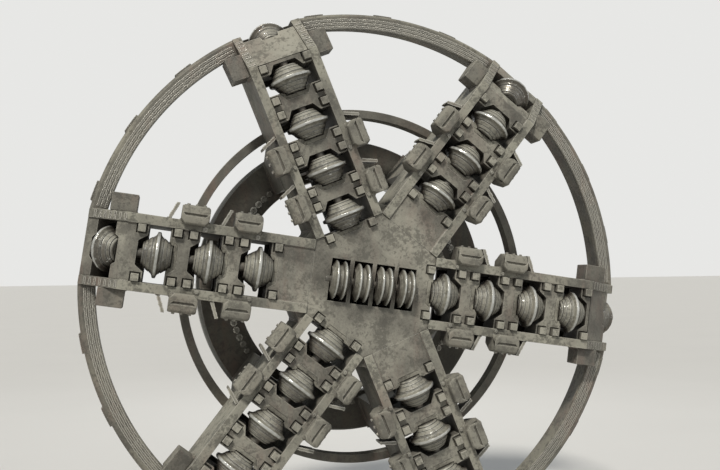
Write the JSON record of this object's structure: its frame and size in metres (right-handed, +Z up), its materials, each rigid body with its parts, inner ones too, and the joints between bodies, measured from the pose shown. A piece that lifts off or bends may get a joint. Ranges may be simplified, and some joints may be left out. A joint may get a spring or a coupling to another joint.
{
  "type": "tunnel boring machine cutterhead",
  "caption": "Round rock-cutting head with spoke arms, freely turning disc cutters, edge scrapers and a rim, turning on its slewing bearing.",
  "frame": {"origin": "centre of the slewing bearing's mounting face, which bolts to the machine", "axes": "+Y along the axis of the head, from the face towards the machine; +Z up; +X to the right seen from the front"},
  "size_m": [6.1716, 1.805, 6.2026],
  "materials": {
    "face_steel": "dusty worn structural steel",
    "frame_steel": "dusty structural steel",
    "rim_steel": "dusty worn structural steel",
    "wear_steel": "hard facing, dusty",
    "scraper_steel": "dusty worn cast steel",
    "cutter_steel": "dusty tool steel with bright worn edges",
    "shaft_steel": "dusty machined steel",
    "bearing_steel": "machined and oiled",
    "coupling_steel": "grey paint"
  },
  "bodies": {
    "bearing_base": {"bearing_fixed_ring": "bearing_steel"},
    "head": {"bearing_turning_ring": "bearing_steel", "leg_flange": "frame_steel", "support_legs": "frame_steel", "centre_column": "frame_steel", "rotary_coupling": "coupling_steel", "supply_pipes": "coupling_steel", "centre_face": "face_steel", "centre_walls": "frame_steel", "centre_gussets": "face_steel", "arm_side_plates": "face_steel", "arm_saddles": "face_steel", "arm_back_plates": "frame_steel", "arm_end_blocks": "face_steel", "stiffening_ring": "frame_steel", "rim": "rim_steel", "rim_wear_strips": "wear_steel", "rim_buckets": "wear_steel", "leading_scrapers": "scraper_steel", "trailing_scrapers": "scraper_steel", "scraper_ribs": "scraper_steel", "mixing_bars": "frame_steel", "cutter_shafts": "shaft_steel", "twin_shafts": "shaft_steel"},
    "disc_1_1": {"disc_1_1": "cutter_steel"},
    "disc_1_2": {"disc_1_2": "cutter_steel"},
    "disc_1_3": {"disc_1_3": "cutter_steel"},
    "disc_1_4": {"disc_1_4": "cutter_steel"},
    "disc_1_5": {"disc_1_5": "cutter_steel"},
    "disc_2_1": {"disc_2_1": "cutter_steel"},
    "disc_2_2": {"disc_2_2": "cutter_steel"},
    "disc_2_3": {"disc_2_3": "cutter_steel"},
    "disc_2_4": {"disc_2_4": "cutter_steel"},
    "disc_3_1": {"disc_3_1": "cutter_steel"},
    "disc_3_2": {"disc_3_2": "cutter_steel"},
    "disc_3_3": {"disc_3_3": "cutter_steel"},
    "disc_3_4": {"disc_3_4": "cutter_steel"},
    "disc_3_5": {"disc_3_5": "cutter_steel"},
    "disc_4_1": {"disc_4_1": "cutter_steel"},
    "disc_4_2": {"disc_4_2": "cutter_steel"},
    "disc_4_3": {"disc_4_3": "cutter_steel"},
    "disc_4_4": {"disc_4_4": "cutter_steel"},
    "disc_5_1": {"disc_5_1": "cutter_steel"},
    "disc_5_2": {"disc_5_2": "cutter_steel"},
    "disc_5_3": {"disc_5_3": "cutter_steel"},
    "disc_5_4": {"disc_5_4": "cutter_steel"},
    "disc_5_5": {"disc_5_5": "cutter_steel"},
    "disc_6_1": {"disc_6_1": "cutter_steel"},
    "disc_6_2": {"disc_6_2": "cutter_steel"},
    "disc_6_3": {"disc_6_3": "cutter_steel"},
    "disc_6_4": {"disc_6_4": "cutter_steel"},
    "twin_disc_1": {"twin_disc_1": "cutter_steel"},
    "twin_disc_2": {"twin_disc_2": "cutter_steel"},
    "twin_disc_3": {"twin_disc_3": "cutter_steel"},
    "twin_disc_4": {"twin_disc_4": "cutter_steel"}
  },
  "joints": [
    {"name": "head_spin", "type": "hinge", "parent": "bearing_base", "child": "head", "pos_m": [0, 0, 0], "axis": [0, 1, 0], "continuous": true},
    {"name": "disc_1_1_spin", "type": "hinge", "parent": "head", "child": "disc_1_1", "pos_m": [0.81594, -1.5635, -0.12194], "axis": [0.989, 0, -0.1478], "continuous": true},
    {"name": "disc_1_2_spin", "type": "hinge", "parent": "head", "child": "disc_1_2", "pos_m": [1.33517, -1.5635, -0.19954], "axis": [0.989, 0, -0.1478], "continuous": true},
    {"name": "disc_1_3_spin", "type": "hinge", "parent": "head", "child": "disc_1_3", "pos_m": [1.8544, -1.5635, -0.27714], "axis": [0.989, 0, -0.1478], "continuous": true},
    {"name": "disc_1_4_spin", "type": "hinge", "parent": "head", "child": "disc_1_4", "pos_m": [2.37364, -1.5635, -0.35474], "axis": [0.989, 0, -0.1478], "continuous": true},
    {"name": "disc_1_5_spin", "type": "hinge", "parent": "head", "child": "disc_1_5", "pos_m": [2.86815, -1.255, -0.42865], "axis": [0.418, 0.9063, -0.0625], "continuous": true},
    {"name": "disc_2_1_spin", "type": "hinge", "parent": "head", "child": "disc_2_1", "pos_m": [0.78437, -1.5635, 0.98609], "axis": [0.6225, 0, 0.7826], "continuous": true},
    {"name": "disc_2_2_spin", "type": "hinge", "parent": "head", "child": "disc_2_2", "pos_m": [1.11119, -1.5635, 1.39696], "axis": [0.6225, 0, 0.7826], "continuous": true},
    {"name": "disc_2_3_spin", "type": "hinge", "parent": "head", "child": "disc_2_3", "pos_m": [1.43801, -1.5635, 1.80782], "axis": [0.6225, 0, 0.7826], "continuous": true},
    {"name": "disc_2_4_spin", "type": "hinge", "parent": "head", "child": "disc_2_4", "pos_m": [1.73682, -1.435, 2.18348], "axis": [0.4769, 0.6428, 0.5995], "continuous": true},
    {"name": "disc_3_1_spin", "type": "hinge", "parent": "head", "child": "disc_3_1", "pos_m": [-0.30236, -1.5635, 0.76759], "axis": [-0.3665, 0, 0.9304], "continuous": true},
    {"name": "disc_3_2_spin", "type": "hinge", "parent": "head", "child": "disc_3_2", "pos_m": [-0.49478, -1.5635, 1.25606], "axis": [-0.3665, 0, 0.9304], "continuous": true},
    {"name": "disc_3_3_spin", "type": "hinge", "parent": "head", "child": "disc_3_3", "pos_m": [-0.68719, -1.5635, 1.74453], "axis": [-0.3665, 0, 0.9304], "continuous": true},
    {"name": "disc_3_4_spin", "type": "hinge", "parent": "head", "child": "disc_3_4", "pos_m": [-0.8796, -1.5635, 2.233], "axis": [-0.3665, 0, 0.9304], "continuous": true},
    {"name": "disc_3_5_spin", "type": "hinge", "parent": "head", "child": "disc_3_5", "pos_m": [-1.06285, -1.255, 2.69821], "axis": [-0.1549, 0.9063, 0.3932], "continuous": true},
    {"name": "disc_4_1_spin", "type": "hinge", "parent": "head", "child": "disc_4_1", "pos_m": [-1.24616, -1.5635, 0.18624], "axis": [-0.989, 0, 0.1478], "continuous": true},
    {"name": "disc_4_2_spin", "type": "hinge", "parent": "head", "child": "disc_4_2", "pos_m": [-1.76539, -1.5635, 0.26384], "axis": [-0.989, 0, 0.1478], "continuous": true},
    {"name": "disc_4_3_spin", "type": "hinge", "parent": "head", "child": "disc_4_3", "pos_m": [-2.28463, -1.5635, 0.34144], "axis": [-0.989, 0, 0.1478], "continuous": true},
    {"name": "disc_4_4_spin", "type": "hinge", "parent": "head", "child": "disc_4_4", "pos_m": [-2.75935, -1.435, 0.41239], "axis": [-0.7576, 0.6428, 0.1132], "continuous": true},
    {"name": "disc_5_1_spin", "type": "hinge", "parent": "head", "child": "disc_5_1", "pos_m": [-0.51357, -1.5635, -0.64565], "axis": [-0.6225, 0, -0.7826], "continuous": true},
    {"name": "disc_5_2_spin", "type": "hinge", "parent": "head", "child": "disc_5_2", "pos_m": [-0.84039, -1.5635, -1.05652], "axis": [-0.6225, 0, -0.7826], "continuous": true},
    {"name": "disc_5_3_spin", "type": "hinge", "parent": "head", "child": "disc_5_3", "pos_m": [-1.16721, -1.5635, -1.46739], "axis": [-0.6225, 0, -0.7826], "continuous": true},
    {"name": "disc_5_4_spin", "type": "hinge", "parent": "head", "child": "disc_5_4", "pos_m": [-1.49404, -1.5635, -1.87826], "axis": [-0.6225, 0, -0.7826], "continuous": true},
    {"name": "disc_5_5_spin", "type": "hinge", "parent": "head", "child": "disc_5_5", "pos_m": [-1.80529, -1.255, -2.26956], "axis": [-0.2631, 0.9063, -0.3307], "continuous": true},
    {"name": "disc_6_1_spin", "type": "hinge", "parent": "head", "child": "disc_6_1", "pos_m": [0.46179, -1.5635, -1.17233], "axis": [0.3665, 0, -0.9304], "continuous": true},
    {"name": "disc_6_2_spin", "type": "hinge", "parent": "head", "child": "disc_6_2", "pos_m": [0.6542, -1.5635, -1.6608], "axis": [0.3665, 0, -0.9304], "continuous": true},
    {"name": "disc_6_3_spin", "type": "hinge", "parent": "head", "child": "disc_6_3", "pos_m": [0.84662, -1.5635, -2.14926], "axis": [0.3665, 0, -0.9304], "continuous": true},
    {"name": "disc_6_4_spin", "type": "hinge", "parent": "head", "child": "disc_6_4", "pos_m": [1.02254, -1.435, -2.59586], "axis": [0.2808, 0.6428, -0.7127], "continuous": true},
    {"name": "twin_disc_1_spin", "type": "hinge", "parent": "head", "child": "twin_disc_1", "pos_m": [-0.37385, -1.589, 0.05587], "axis": [0.989, 0, -0.1478], "continuous": true},
    {"name": "twin_disc_2_spin", "type": "hinge", "parent": "head", "child": "twin_disc_2", "pos_m": [-0.12462, -1.589, 0.01862], "axis": [0.989, 0, -0.1478], "continuous": true},
    {"name": "twin_disc_3_spin", "type": "hinge", "parent": "head", "child": "twin_disc_3", "pos_m": [0.12462, -1.589, -0.01862], "axis": [0.989, 0, -0.1478], "continuous": true},
    {"name": "twin_disc_4_spin", "type": "hinge", "parent": "head", "child": "twin_disc_4", "pos_m": [0.37385, -1.589, -0.05587], "axis": [0.989, 0, -0.1478], "continuous": true}
  ]
}
